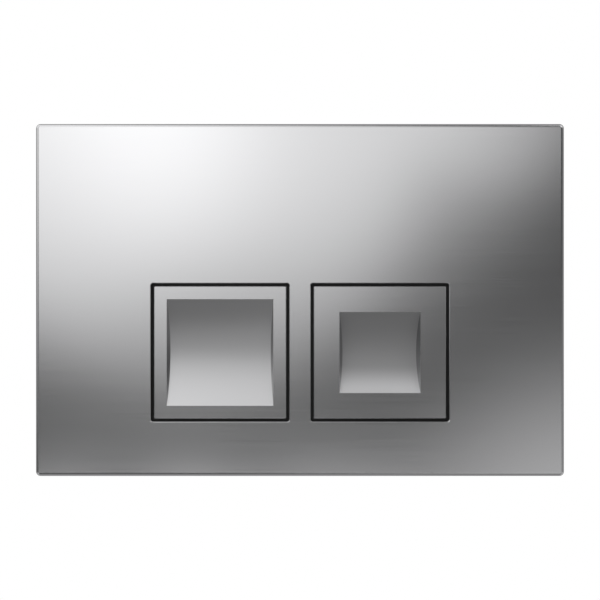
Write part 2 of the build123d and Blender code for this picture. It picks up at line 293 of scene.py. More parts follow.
class FLUSHPLATE_PG_stage(bpy.types.PropertyGroup):
    """The camera, the floor and the studio light."""

    camera_distance: FloatProperty(
        name="Camera distance", description="From the camera to the face of the plate",
        unit="LENGTH", default=0.6, min=0.1)
    view_width: FloatProperty(
        name="View width", description="Width of the picture at the face of the plate",
        unit="LENGTH", default=0.279, min=0.01)
    floor_drop: FloatProperty(
        name="Floor drop", description="Height of the plate's centre above the floor",
        unit="LENGTH", default=0.3, min=0.1)
    floor_radius: FloatProperty(
        name="Floor radius", description="Radius of the round floor",
        unit="LENGTH", default=0.42, min=0.1)
    tent_radius: FloatProperty(
        name="Tent radius", description="Radius of the light tent that the metal reflects",
        unit="LENGTH", default=1.6, min=0.5)
    tent_base: FloatProperty(
        name="Tent base", description="Brightness of the tent's unlit cloth round the camera",
        default=0.062, min=0)
    tent_surround: FloatProperty(
        name="Tent surround", description="Brightness of the tent's unlit cloth on all other sides",
        default=0.28, min=0)
    ambient: FloatProperty(
        name="Ambient", description="Even light from all round on the plastic pieces",
        default=0.45, min=0)


PROPERTY_GROUPS = {
    "flush_plate_finish": FLUSHPLATE_PG_finish,
    "flush_plate_sizes": FLUSHPLATE_PG_sizes,
    "flush_plate_stage": FLUSHPLATE_PG_stage,
}


# Node tree helpers


def add_node(tree, kind, **settings):
    """A new node with the given settings."""
    node = tree.nodes.new(kind)
    for name, value in settings.items():
        setattr(node, name, value)
    return node


def feed(tree, socket, value):
    """Links an output to an input, or sets the input to a plain value."""
    if isinstance(value, bpy.types.NodeSocket):
        tree.links.new(value, socket)
    else:
        socket.default_value = value


def calculate(tree, operation, *values, clamp=False):
    """The output of a Math node over the given sockets and numbers."""
    node = add_node(tree, "ShaderNodeMath", operation=operation, use_clamp=clamp)
    for socket, value in zip(node.inputs, values):
        feed(tree, socket, value)
    return node.outputs[0]


def vector_of(tree, operation, *values):
    """The output of a Vector Math node: a vector, or a number for a length or a dot product."""
    node = add_node(tree, "ShaderNodeVectorMath", operation=operation)
    for socket, value in zip(node.inputs, values):
        feed(tree, socket, value)
    return node.outputs["Value" if operation in {"DOT_PRODUCT", "LENGTH"} else "Vector"]


def combine(tree, **parts):
    """A vector from its X, Y and Z."""
    node = add_node(tree, "ShaderNodeCombineXYZ")
    for axis, value in parts.items():
        feed(tree, node.inputs[axis.upper()], value)
    return node.outputs[0]


def separate(tree, vector):
    """The X, Y and Z outputs of a vector."""
    node = add_node(tree, "ShaderNodeSeparateXYZ")
    feed(tree, node.inputs[0], vector)
    return node.outputs


def smooth_range(tree, value, low, high, to_low=0.0, to_high=1.0):
    """A smooth step of value between low and high."""
    node = add_node(tree, "ShaderNodeMapRange", interpolation_type="SMOOTHSTEP")
    for name, number in zip(("Value", "From Min", "From Max", "To Min", "To Max"),
                            (value, low, high, to_low, to_high)):
        feed(tree, node.inputs[name], number)
    return node.outputs["Result"]


def blend(tree, factor, first, second, kind):
    """The value between two values of a kind, RGBA or VALUE, by a factor."""
    node = add_node(tree, "ShaderNodeMix", data_type="RGBA" if kind == "RGBA" else "FLOAT")
    feed(tree, node.inputs["Factor"], factor)
    for name, value in (("A", first), ("B", second)):
        feed(tree, next(s for s in node.inputs if s.name == name and s.type == kind), value)
    return next(s for s in node.outputs if s.type == kind)


def blend_colours(tree, factor, first, second):
    """The colour between two colours, by a factor."""
    return blend(tree, factor, first, second, "RGBA")


def blend_numbers(tree, factor, first, second):
    """The number between two numbers, by a factor."""
    return blend(tree, factor, first, second, "VALUE")


def opaque(colour, tone=1.0):
    """A colour, made darker by a tone, with full alpha for a colour socket."""
    return (*(tone * part for part in colour), 1.0)


def new_group(kind, name, inputs, outputs):
    """A node group with its interface: (tree, input sockets by name, output node)."""
    tree = bpy.data.node_groups.new(name, kind)
    for in_out, sockets in (("INPUT", inputs), ("OUTPUT", outputs)):
        for socket_name, socket_type, default in sockets:
            socket = tree.interface.new_socket(socket_name, in_out=in_out, socket_type=socket_type)
            if default is not None:
                socket.default_value = default
    entry = add_node(tree, "NodeGroupInput")
    leave = add_node(tree, "NodeGroupOutput")
    return tree, {s.name: s for s in entry.outputs if s.name}, leave


def place_group(tree, group, **values):
    """A group node in a material, with its inputs set by name; an underscore stands for a space."""
    node = add_node(tree, "ShaderNodeGroup", node_tree=group)
    for name, value in values.items():
        feed(tree, node.inputs[name.replace("_", " ").capitalize()], value)
    return node.outputs


# Shader effects that several finishes share


def object_place(tree):
    """The place of a point in the piece's own frame."""
    return add_node(tree, "ShaderNodeTexCoord").outputs["Object"]


def noise(tree, place, scale, detail):
    """A smooth noise from 0 to 1."""
    node = add_node(tree, "ShaderNodeTexNoise")
    for name, value in (("Vector", place), ("Scale", scale), ("Detail", detail)):
        feed(tree, node.inputs[name], value)
    return node.outputs["Fac"]


def moulded_grain():
    """Fine grain of a moulded surface: a tone that varies slowly, a sheen and a height."""
    name = "Moulded grain"
    if name in bpy.data.node_groups:
        return bpy.data.node_groups[name]
    tree, inputs, leave = new_group(
        "ShaderNodeTree", name,
        [("Grain size", NUMBER, 0.0004), ("Flow size", NUMBER, 0.02)],
        [("Tone", NUMBER, None), ("Sheen", NUMBER, None), ("Height", NUMBER, None)])
    place = object_place(tree)
    fine = noise(tree, place, calculate(tree, "DIVIDE", 1.0, inputs["Grain size"]), detail=3.0)
    flow = noise(tree, place, calculate(tree, "DIVIDE", 1.0, inputs["Flow size"]), detail=2.0)
    sheen = calculate(tree, "MULTIPLY", calculate(tree, "ADD", fine, flow), 0.5)
    for output, value in (("Tone", flow), ("Sheen", sheen), ("Height", fine)):
        feed(tree, leave.inputs[output], value)
    return tree


def brushing():
    """Fine lines along X, as brushing or drawing leaves them: a mask from 0 to 1."""
    name = "Brushing"
    if name in bpy.data.node_groups:
        return bpy.data.node_groups[name]
    tree, inputs, leave = new_group(
        "ShaderNodeTree", name,
        [("Line width", NUMBER, 0.0003), ("Line length", NUMBER, 0.05)],
        [("Lines", NUMBER, None)])
    place = separate(tree, object_place(tree))
    stretched = combine(
        tree,
        x=calculate(tree, "DIVIDE", place["X"], inputs["Line length"]),
        y=calculate(tree, "DIVIDE", place["Y"], inputs["Line width"]),
        z=calculate(tree, "DIVIDE", place["Z"], inputs["Line width"]))
    feed(tree, leave.inputs["Lines"], noise(tree, stretched, scale=1.0, detail=4.0))
    return tree


def inside_square():
    """1 inside a square about a centre in X and Z, and 0 outside it."""
    name = "Inside square"
    if name in bpy.data.node_groups:
        return bpy.data.node_groups[name]
    tree, inputs, leave = new_group(
        "ShaderNodeTree", name,
        [("Centre", VECTOR, (0, 0, 0)), ("Half width", NUMBER, 0.1), ("Half height", NUMBER, 0.1)],
        [("Inside", NUMBER, None)])
    from_centre = vector_of(tree, "SUBTRACT", object_place(tree), inputs["Centre"])
    offset = separate(tree, vector_of(tree, "ABSOLUTE", from_centre))
    in_width = calculate(tree, "LESS_THAN", offset["X"], inputs["Half width"])
    in_height = calculate(tree, "LESS_THAN", offset["Z"], inputs["Half height"])
    feed(tree, leave.inputs["Inside"], calculate(tree, "MULTIPLY", in_width, in_height))
    return tree


# Materials


def new_material(name):
    """A new node material: (material, tree, Principled shader)."""
    material = bpy.data.materials.new(name)
    material.use_nodes = True
    tree = material.node_tree
    return material, tree, tree.nodes["Principled BSDF"]


def add_bump(tree, shader, height, distance, strength):
    """Raises a shader's surface by a height."""
    bump = add_node(tree, "ShaderNodeBump")
    for name, value in (("Height", height), ("Distance", distance), ("Strength", strength)):
        feed(tree, bump.inputs[name], value)
    feed(tree, shader.inputs["Normal"], bump.outputs["Normal"])


def faces_room(tree, limit):
    """1 where a face points to the wall by less than a limit, and 0 elsewhere."""
    normal = separate(tree, add_node(tree, "ShaderNodeTexCoord").outputs["Normal"])
    return calculate(tree, "LESS_THAN", normal["Y"], limit)


def plated_moulding(
        name, finish, plated_zone, recess_floor=None, recess_roughness=None, recess_metal=None):
    """Satin chrome on the side that shows, bare plastic behind it, and painted shade in the gaps.

    plated_zone and recess_floor are functions that take the tree and give a mask from 0 to 1,
    and recess_metal is one that gives the colour of the recess floor, with painted shade in its
    upper part and painted light towards its bottom.
    """
    material, tree, shader = new_material(name)
    depth = separate(tree, object_place(tree))["Y"]
    on_face = calculate(tree, "LESS_THAN", depth, FACE_Y + finish.plating_depth)
    zone = plated_zone(tree)
    plated = calculate(tree, "MAXIMUM", on_face, zone)
    lines = place_group(tree, brushing(), **PLATING_LINES)["Lines"]
    roughness = smooth_range(
        tree, lines, *LINE_VALUES,
        finish.chrome_roughness - PLATING_SPREAD, finish.chrome_roughness + PLATING_SPREAD)
    metal = blend_colours(tree, lines, opaque(finish.chrome, PLATING_SHADE), opaque(finish.chrome))
    if recess_floor:
        scooped = recess_floor(tree)
        roughness = blend_numbers(tree, scooped, roughness, recess_roughness)
        # Painted shade: a recess's side walls take a darker plating colour
        wall = opaque(finish.chrome, finish.wall_tone)
        recess = blend_colours(tree, scooped, wall, recess_metal(tree))
        metal = blend_colours(tree, zone, metal, recess)
    grain = place_group(tree, moulded_grain(), **MOULDING_GRAIN)
    bare_roughness = smooth_range(tree, grain["Sheen"], *NOISE_VALUES, *BARE_ROUGHNESS)
    # Painted shade: unplated plastic near the face that faces the room, in the gaps round the buttons,
    # takes the near-black gap colour
    in_gap = calculate(tree, "LESS_THAN", depth, FACE_Y + GAP_SHADE_DEPTH)
    gap_shade = calculate(tree, "MULTIPLY", in_gap, faces_room(tree, GAP_SHADE_FACING))
    bare = blend_colours(tree, gap_shade, opaque(finish.moulding), opaque(finish.gap_shade))
    feed(tree, shader.inputs["Base Color"], blend_colours(tree, plated, bare, metal))
    feed(tree, shader.inputs["Metallic"], plated)
    feed(tree, shader.inputs["Roughness"], blend_numbers(tree, plated, bare_roughness, roughness))
    add_bump(tree, shader, lines, *PLATING_BUMP)
    return material


def cover_material(finish):
    """Plating on the face and round the skirt's outer side."""
    def skirt(tree):
        inside = place_group(
            tree, inside_square(), centre=(0, 0, 0),
            half_width=COVER_HIGH.x - finish.plating_depth,
            half_height=COVER_HIGH.z - finish.plating_depth)["Inside"]
        return calculate(tree, "SUBTRACT", 1.0, inside)

    return plated_moulding("Plated cover", finish, skirt)


def button_material(flush, recess_width, recess_roughness, recess_shade, recess_light, finish):
    """Plating on a button's face and in its finger recess, with painted shade in the recess and painted
    light towards its bottom.
    """
    axle = centre_of(f"{flush}_flush_axle")
    half = recess_width / 2
    centre = (axle.x, 0, axle.z - RECESS_BELOW_AXLE)

    def recess(tree, limit=RECESS_FACING):
        inside = place_group(
            tree, inside_square(), centre=centre, half_width=half, half_height=half)["Inside"]
        return calculate(tree, "MULTIPLY", inside, faces_room(tree, limit))

    def recess_floor(tree):
        return recess(tree, FLOOR_FACING)

    def recess_metal(tree):
        # Painted shade and light: the recess plating is painted darker in its upper part and lighter
        # towards its bottom
        height = separate(tree, object_place(tree))["Z"]
        lightest_to, shaded_from = (centre[2] - share * half for share in RECESS_LIGHT_SHARES)
        lit_share = smooth_range(tree, height, lightest_to, shaded_from, 1.0, 0.0)
        shaded, bright = (opaque(finish.chrome, tone) for tone in (recess_shade, recess_light))
        return blend_colours(tree, lit_share, shaded, bright)

    return plated_moulding(
        f"Plated {flush} button", finish, recess, recess_floor, recess_roughness, recess_metal)


def moulded_plastic(name, colour, grain_size, roughness, bump=0.15):
    """Plain moulded plastic with a fine grain."""
    material, tree, shader = new_material(name)
    grain = place_group(tree, moulded_grain(), grain_size=grain_size, flow_size=PLASTIC_FLOW)
    tone = smooth_range(tree, grain["Tone"], *NOISE_VALUES)
    shade = opaque(colour, PLASTIC_SHADE)
    feed(tree, shader.inputs["Base Color"], blend_colours(tree, tone, shade, opaque(colour)))
    feed(tree, shader.inputs["Roughness"], smooth_range(
        tree, grain["Sheen"], *NOISE_VALUES, roughness - PLAIN_SPREAD, roughness + PLAIN_SPREAD))
    add_bump(tree, shader, grain["Height"], PLASTIC_BUMP, bump)
    return material


def drawn_steel(name, colour, roughness):
    """Bright steel with fine drawing lines."""
    material, tree, shader = new_material(name)
    lines = place_group(tree, brushing(), **STEEL_LINES)["Lines"]
    shade = opaque(colour, STEEL_SHADE)
    feed(tree, shader.inputs["Base Color"], blend_colours(tree, lines, shade, opaque(colour)))
    feed(tree, shader.inputs["Metallic"], 1.0)
    feed(tree, shader.inputs["Roughness"], smooth_range(
        tree, lines, *NOISE_VALUES, roughness - PLAIN_SPREAD, roughness + PLAIN_SPREAD))
    return material


def dress(node, material):
    """Gives a CAD node its finish."""
    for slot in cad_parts[node].material_slots:
        slot.material = material


# Geometry node trees


def named_inputs(modifier, **values):
    """Sets a modifier's inputs by their names, through the sockets' identifiers."""
    for item in modifier.node_group.interface.items_tree:
        key = item.name.lower().replace(" ", "_")
        if item.item_type == "SOCKET" and item.in_out == "INPUT" and key in values:
            modifier[item.identifier] = values[key]


def mesh_from_tree(group, **values):
    """The plain mesh that a geometry node tree makes with the given inputs."""
    holder = bpy.data.objects.new(group.name, bpy.data.meshes.new(group.name))
    bpy.context.scene.collection.objects.link(holder)
    modifier = holder.modifiers.new(group.name, "NODES")
    modifier.node_group = group
    named_inputs(modifier, **values)
    depsgraph = bpy.context.evaluated_depsgraph_get()
    mesh = bpy.data.meshes.new_from_object(holder.evaluated_get(depsgraph), depsgraph=depsgraph)
    holder.modifiers.remove(modifier)
    bpy.data.objects.remove(holder)
    if not mesh.polygons:
        raise RuntimeError(f"{group.name} made no faces")
    return mesh


def move_points(tree, geometry, position):
    """Puts the points of a geometry at a position."""
    node = add_node(tree, "GeometryNodeSetPosition")
    feed(tree, node.inputs["Geometry"], geometry)
    feed(tree, node.inputs["Position"], position)
    return node.outputs[0]


def close_tree(tree, geometry, leave, material):
    """Ends a tree: instances made real, then the material."""
    real = add_node(tree, "GeometryNodeRealizeInstances")
    feed(tree, real.inputs[0], geometry)
    paint = add_node(tree, "GeometryNodeSetMaterial")
    feed(tree, paint.inputs["Geometry"], real.outputs[0])
    feed(tree, paint.inputs["Material"], material)
    feed(tree, leave.inputs[0], paint.outputs[0])


def ribbed_shaft():
    """A shaft along Y whose surface is cut by a helical thread, or by rings where Lead is 0."""
    name = "Ribbed shaft"
    if name in bpy.data.node_groups:
        return bpy.data.node_groups[name]
    tree, inputs, leave = new_group(
        "GeometryNodeTree", name,
        [("Axis", VECTOR, (0, 0, 0)), ("Start", NUMBER, 0.0), ("End", NUMBER, 0.04),
         ("Cut start", NUMBER, 0.002), ("Cut end", NUMBER, 0.038), ("Radius", NUMBER, 0.005),
         ("Depth", NUMBER, 0.0009), ("Pitch", NUMBER, 0.0025), ("Lead", NUMBER, 1.0),
         ("Around", COUNT, 48), ("Rings", COUNT, 200), ("Material", MATERIAL, None)],
        [("Geometry", GEOMETRY, None)])
    grid = add_node(tree, "GeometryNodeMeshGrid")
    for input_name, value in (("Size X", 1.0), ("Size Y", 1.0),
                              ("Vertices X", inputs["Around"]), ("Vertices Y", inputs["Rings"])):
        feed(tree, grid.inputs[input_name], value)

    # The grid runs from -0.5 to 0.5 both ways: X goes round the shaft and Y along it
    spot = separate(tree, add_node(tree, "GeometryNodeInputPosition").outputs[0])
    turn = calculate(tree, "ADD", spot["X"], 0.5)
    share = calculate(tree, "ADD", spot["Y"], 0.5)
    span = calculate(tree, "SUBTRACT", inputs["End"], inputs["Start"])
    along = calculate(tree, "MULTIPLY_ADD", share, span, inputs["Start"])

    # How deep the cut is at each point: one groove a pitch, which fades in and out at the ends
    from_cut = calculate(tree, "SUBTRACT", along, inputs["Cut start"])
    to_cut = calculate(tree, "SUBTRACT", inputs["Cut end"], along)
    turns = calculate(tree, "DIVIDE", from_cut, inputs["Pitch"])
    led = calculate(tree, "MULTIPLY", turn, inputs["Lead"])
    phase = calculate(tree, "FRACT", calculate(tree, "SUBTRACT", turns, led))
    away = calculate(tree, "ABSOLUTE", calculate(tree, "MULTIPLY_ADD", phase, 2.0, -1.0))
    groove = calculate(tree, "MULTIPLY_ADD", away, GROOVE_SLOPE, GROOVE_LEVEL, clamp=True)
    fade_in = smooth_range(tree, from_cut, 0.0, inputs["Pitch"])
    fade_out = smooth_range(tree, to_cut, 0.0, inputs["Pitch"])
    cut = calculate(tree, "MULTIPLY", calculate(tree, "MULTIPLY", groove, fade_in), fade_out)
    deep = calculate(tree, "MULTIPLY", cut, inputs["Depth"])
    radius = calculate(tree, "SUBTRACT", inputs["Radius"], deep)

    angle = calculate(tree, "MULTIPLY", turn, 2 * pi)
    point = combine(
        tree,
        x=calculate(tree, "MULTIPLY", radius, calculate(tree, "SINE", angle)),
        y=along,
        z=calculate(tree, "MULTIPLY", radius, calculate(tree, "COSINE", angle)))
    shaft = move_points(tree, grid.outputs["Mesh"], vector_of(tree, "ADD", point, inputs["Axis"]))
    joined = add_node(tree, "GeometryNodeMergeByDistance")
    feed(tree, joined.inputs["Geometry"], shaft)
    feed(tree, joined.inputs["Distance"], SEAM_DISTANCE)
    close_tree(tree, joined.outputs[0], leave, inputs["Material"])
    return tree


def wound_wire():
    """A torsion spring about X: a straight leg, a coil and a second leg on the same side."""
    name = "Wound wire"
    if name in bpy.data.node_groups:
        return bpy.data.node_groups[name]
    tree, inputs, leave = new_group(
        "GeometryNodeTree", name,
        [("Centre", VECTOR, (0, 0, 0)), ("Coil radius", NUMBER, 0.0022),
         ("Coil length", NUMBER, 0.0032), ("Turns", NUMBER, 2.0), ("Leg", NUMBER, 0.0085),
         ("Wire", NUMBER, 0.0008), ("Points", COUNT, 160), ("Material", MATERIAL, None)],
        [("Geometry", GEOMETRY, None)])
    line = add_node(tree, "GeometryNodeCurvePrimitiveLine")
    dense = add_node(tree, "GeometryNodeResampleCurve", mode="COUNT")
    feed(tree, dense.inputs["Curve"], line.outputs[0])
    feed(tree, dense.inputs["Count"], inputs["Points"])

    # How far each point has run along the wire: up the first leg, round the coil, down the second leg
    share = add_node(tree, "GeometryNodeSplineParameter").outputs["Factor"]
    coil_angle = calculate(tree, "MULTIPLY", inputs["Turns"], 2 * pi)
    coil_arc = calculate(tree, "MULTIPLY", coil_angle, inputs["Coil radius"])
    whole = calculate(tree, "MULTIPLY_ADD", inputs["Leg"], 2.0, coil_arc)
    run = calculate(tree, "MULTIPLY", share, whole)
    past_leg = calculate(tree, "SUBTRACT", run, inputs["Leg"])
    in_coil = calculate(tree, "DIVIDE", past_leg, coil_arc, clamp=True)
    before = calculate(tree, "MAXIMUM", calculate(tree, "SUBTRACT", inputs["Leg"], run), 0.0)
    coil_end = calculate(tree, "ADD", inputs["Leg"], coil_arc)
    after = calculate(tree, "MAXIMUM", calculate(tree, "SUBTRACT", run, coil_end), 0.0)

    turns = calculate(tree, "MULTIPLY", in_coil, inputs["Turns"])
    angle = calculate(tree, "MULTIPLY", turns, -2 * pi)
    from_middle = calculate(tree, "SUBTRACT", in_coil, 0.5)
    rise = calculate(tree, "MULTIPLY", inputs["Coil radius"], calculate(tree, "SINE", angle))
    legs = calculate(tree, "SUBTRACT", before, after)
    point = combine(
        tree,
        x=calculate(tree, "MULTIPLY", from_middle, inputs["Coil length"]),
        y=calculate(tree, "MULTIPLY", inputs["Coil radius"], calculate(tree, "COSINE", angle)),
        z=calculate(tree, "ADD", rise, legs))
    bent = move_points(tree, dense.outputs[0], vector_of(tree, "ADD", point, inputs["Centre"]))
    section = add_node(tree, "GeometryNodeCurvePrimitiveCircle")
    feed(tree, section.inputs["Resolution"], WIRE_SIDES)
    feed(tree, section.inputs["Radius"], calculate(tree, "MULTIPLY", inputs["Wire"], 0.5))
    wire = add_node(tree, "GeometryNodeCurveToMesh")
    feed(tree, wire.inputs["Curve"], bent)
    feed(tree, wire.inputs["Profile Curve"], section.outputs["Curve"])
    feed(tree, wire.inputs["Fill Caps"], True)
    close_tree(tree, wire.outputs[0], leave, inputs["Material"])
    return tree


# Mesh helpers


def add_piece(name, mesh, material, body=None):
    """Links a finished mesh as a piece of the object, which rides on a body if one is given."""
    mesh.materials.append(material)
    piece = bpy.data.objects.new(name, mesh)
    bpy.context.scene.collection.objects.link(piece)
    if body:
        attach(piece, body)
    return piece


def add_turned(work, profile, x, z):
    """Adds a turned surface to a bmesh: profile is a list of (depth, radius) along Y."""
    rings = []
    for depth, radius in profile:
        if radius == 0:
            rings.append([work.verts.new((x, depth, z))])
            continue
        ring = []
        for step in range(SHAFT_SIDES):
            angle = 2 * pi * step / SHAFT_SIDES
            ring.append(work.verts.new((x + radius * sin(angle), depth, z + radius * cos(angle))))
        rings.append(ring)
    for first, second in zip(rings, rings[1:]):
        for step in range(SHAFT_SIDES):
            corners = []
            for ring, index in ((first, step), (first, step + 1), (second, step + 1), (second, step)):
                corner = ring[index % len(ring)]
                if corner not in corners:
                    corners.append(corner)
            work.faces.new(corners)


def finish_mesh(work, name):
    """A mesh from a bmesh, with merged points, outward faces and smooth shading up to the crease."""
    bmesh.ops.remove_doubles(work, verts=work.verts, dist=MERGE_DISTANCE)
    bmesh.ops.recalc_face_normals(work, faces=work.faces)
    for face in work.faces:
        face.smooth = True
    for edge in work.edges:
        edge.smooth = edge.is_manifold and edge.calc_face_angle(0) < CREASE
    return mesh_of(work, name)


def mesh_of(work, name):
    """A new mesh from a bmesh, which is freed."""
    mesh = bpy.data.meshes.new(name)
    work.to_mesh(mesh)
    work.free()
    return mesh


# Operators: one for each piece or group of like pieces


class FLUSHPLATE_OT_cover(bpy.types.Operator):
    """Finish the cover with satin plating"""

    bl_idname = "flushplate.cover"
    bl_label = "Finish cover"

    def execute(self, context):
        dress("front_plate", cover_material(context.scene.flush_plate_finish))
        return {"FINISHED"}


class FLUSHPLATE_OT_buttons(bpy.types.Operator):
    """Finish both buttons with satin plating and rougher finger recesses with painted shade and light
    """

    bl_idname = "flushplate.buttons"
    bl_label = "Finish buttons"

    def execute(self, context):
        finish = context.scene.flush_plate_finish
        recesses = (
            ("full", finish.full_recess, finish.full_roughness, finish.full_tone, finish.full_recess_light),
            ("half", finish.half_recess, finish.half_roughness, finish.half_tone, finish.half_recess_light))
        for flush, *recess in recesses:
            dress(f"{flush}_flush_button", button_material(flush, *recess, finish))
        return {"FINISHED"}


class FLUSHPLATE_OT_hinges(bpy.types.Operator):
    """Finish the axles, wind the return springs and finish the stop buffers"""

    bl_idname = "flushplate.hinges"
    bl_label = "Make hinges"

    def execute(self, context):
        finish = context.scene.flush_plate_finish
        sizes = context.scene.flush_plate_sizes
        axle_steel = drawn_steel("Axle steel", finish.steel, roughness=0.28)
        wire_steel = drawn_steel("Spring steel", finish.steel, roughness=0.36)
        rubber = moulded_plastic(
            "Buffer rubber", finish.rubber, grain_size=0.0003, roughness=0.78, bump=0.3)
        for flush in FLUSHES:
            dress(f"{flush}_flush_axle", axle_steel)
            dress(f"{flush}_flush_stop_buffers", rubber)
            self.wind_spring(flush, sizes, wire_steel)
        return {"FINISHED"}

    def wind_spring(self, flush, sizes, material):
        """A torsion spring of round wire in place of the solid one, between cover and button."""
        node = f"{flush}_flush_return_spring"
        axle = centre_of(f"{flush}_flush_axle")
        low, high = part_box(node)
        coil_length = high.x - low.x - sizes.wire
        coil_radius = high.y - axle.y - sizes.wire / 2
        work = bmesh.new()
        work.from_mesh(mesh_from_tree(
            wound_wire(), centre=axle, coil_radius=coil_radius, coil_length=coil_length,
            turns=float(sizes.spring_turns), leg=sizes.spring_leg, wire=sizes.wire,
            material=material))
        spring = add_piece(f"{node}_wire", finish_mesh(work, node), material)
        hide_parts(node)
        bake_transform(spring)


class FLUSHPLATE_OT_rods(bpy.types.Operator):
    """Make the grooved push rods and finish their caps and guide bushes"""

    bl_idname = "flushplate.rods"
    bl_label = "Make push rods"

    def execute(self, context):
        finish = context.scene.flush_plate_finish
        sizes = context.scene.flush_plate_sizes
        rod_plastic = moulded_plastic(
            "Rod plastic", finish.rod_plastic, grain_size=0.0005, roughness=0.38)
        bush_plastic = moulded_plastic(
            "Bush plastic", finish.bush_plastic, grain_size=0.0005, roughness=0.42)
        for flush in FLUSHES:
            dress(f"{flush}_flush_rod_cap", rod_plastic)
            dress(f"{flush}_flush_guide_bush", bush_plastic)
            self.turn_rod(flush, sizes, rod_plastic)
        return {"FINISHED"}

    def turn_rod(self, flush, sizes, material):
        """A rod with cut-off grooves behind its guide bush, and its plain spigot."""
        node = f"{flush}_flush_push_rod"
        low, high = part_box(node)
        middle = (low + high) / 2
        radius = (high.x - low.x) / 2
        tip_start = high.y - ROD_TIP_LENGTH
        bush_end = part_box(f"{flush}_flush_guide_bush")[1].y
        work = bmesh.new()
        work.from_mesh(mesh_from_tree(
            ribbed_shaft(), axis=(middle.x, 0, middle.z), start=low.y, end=tip_start,
            cut_start=bush_end + GROOVE_MARGIN, cut_end=tip_start - GROOVE_MARGIN, radius=radius,
            depth=sizes.groove_depth, pitch=sizes.groove_pitch, lead=0.0,
            around=SHAFT_SIDES + 1, rings=ROD_RINGS, material=material))
        front = [(low.y, 0), (low.y, radius)]
        tip = [(tip_start, radius), (tip_start, ROD_TIP_RADIUS),
               (high.y - ROD_TIP_BEVEL, ROD_TIP_RADIUS),
               (high.y, ROD_TIP_RADIUS - ROD_TIP_BEVEL), (high.y, 0)]
        for profile in (front, tip):
            add_turned(work, profile, middle.x, middle.z)
        rod = add_piece(f"{node}_grooved", finish_mesh(work, node), material, f"{flush}_rod")
        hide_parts(node)


class FLUSHPLATE_OT_frame(bpy.types.Operator):
    """Finish the mounting frame"""

    bl_idname = "flushplate.frame"
    bl_label = "Finish mounting frame"

    def execute(self, context):
        finish = context.scene.flush_plate_finish
        dress("mounting_frame", moulded_plastic(
            "Frame plastic", finish.frame_plastic, grain_size=0.0006, roughness=0.48))
        return {"FINISHED"}


class FLUSHPLATE_OT_bolts(bpy.types.Operator):
    """Thread the distance bolts and finish their lock nuts"""

    bl_idname = "flushplate.bolts"
    bl_label = "Make distance bolts"

    def execute(self, context):
        finish = context.scene.flush_plate_finish
        sizes = context.scene.flush_plate_sizes
        plastic = moulded_plastic(
            "Bolt plastic", finish.bolt_plastic, grain_size=0.0005, roughness=0.44)
        for hand in HANDS:
            dress(f"{hand}_lock_nut", plastic)
            self.cut_thread(hand, sizes, plastic)
        return {"FINISHED"}

    def cut_thread(self, hand, sizes, material):
        """The bolt's head and shoulder as they are, and a helical thread on its shank."""
        node = f"{hand}_distance_bolt"
        low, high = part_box(node)
        middle = (low + high) / 2
        shoulder_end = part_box(f"{hand}_lock_nut")[1].y
        thread_end = high.y - BOLT_END
        work = bmesh.new()
        work.from_mesh(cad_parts[node].data)
        shank = [f for f in work.faces if f.calc_center_median().y > shoulder_end + SHANK_MARGIN]
        bmesh.ops.delete(work, geom=shank, context="FACES")
        work.from_mesh(mesh_from_tree(
            ribbed_shaft(), axis=(middle.x, 0, middle.z), start=shoulder_end, end=thread_end,
            cut_start=shoulder_end + THREAD_RUN_IN, cut_end=thread_end, radius=BOLT_RADIUS,
            depth=sizes.thread_depth, pitch=sizes.thread_pitch, lead=1.0,
            around=SHAFT_SIDES + 1, rings=BOLT_RINGS, material=material))
        tip = [(thread_end, BOLT_RADIUS), (high.y, BOLT_RADIUS - BOLT_END), (high.y, 0)]
        add_turned(work, tip, middle.x, middle.z)
        bolt = add_piece(f"{node}_threaded", finish_mesh(work, node), material, COVER_BODY)
        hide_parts(node)


class FLUSHPLATE_OT_stage(bpy.types.Operator):
    """Set the floor, the light tent, the lamps, the background and the camera"""

    bl_idname = "flushplate.stage"
    bl_label = "Set the stage"

    def execute(self, context):
        stage = context.scene.flush_plate_stage
        make_floor(stage)
        make_tent(stage)
        make_lamps()
        make_background(context.scene, stage)
        make_camera(context.scene, stage)
        context.scene.view_settings.view_transform = "Standard"
        return {"FINISHED"}


# The stage


def direction(bearing, height):
    """The unit vector to a bearing, from the camera's side to the right, and a height, in degrees."""
    level = cos(radians(height))
    return Vector((sin(radians(bearing)) * level, -cos(radians(bearing)) * level, sin(radians(height))))


def make_floor(stage):
    """A round pale floor that fades out at its rim."""
    work = bmesh.new()
    bmesh.ops.create_circle(work, cap_ends=True, segments=FLOOR_SIDES, radius=stage.floor_radius)
    bmesh.ops.translate(work, verts=work.verts, vec=(0, 0, -stage.floor_drop))
    mesh = mesh_of(work, "Floor")
    material, tree, shader = new_material("Pale floor")
    feed(tree, shader.inputs["Base Color"], opaque((FLOOR_TONE, FLOOR_TONE, FLOOR_TONE)))
    feed(tree, shader.inputs["Roughness"], FLOOR_ROUGHNESS)
    reach = vector_of(tree, "LENGTH", vector_of(tree, "MULTIPLY", object_place(tree), (1, 1, 0)))
    feed(tree, shader.inputs["Alpha"], smooth_range(
        tree, reach, FLOOR_FADE * stage.floor_radius, stage.floor_radius, 1.0, 0.0))
    mesh.materials.append(material)
    floor = bpy.data.objects.new("Floor", mesh)
    bpy.context.scene.collection.objects.link(floor)
    floor.visible_glossy = False


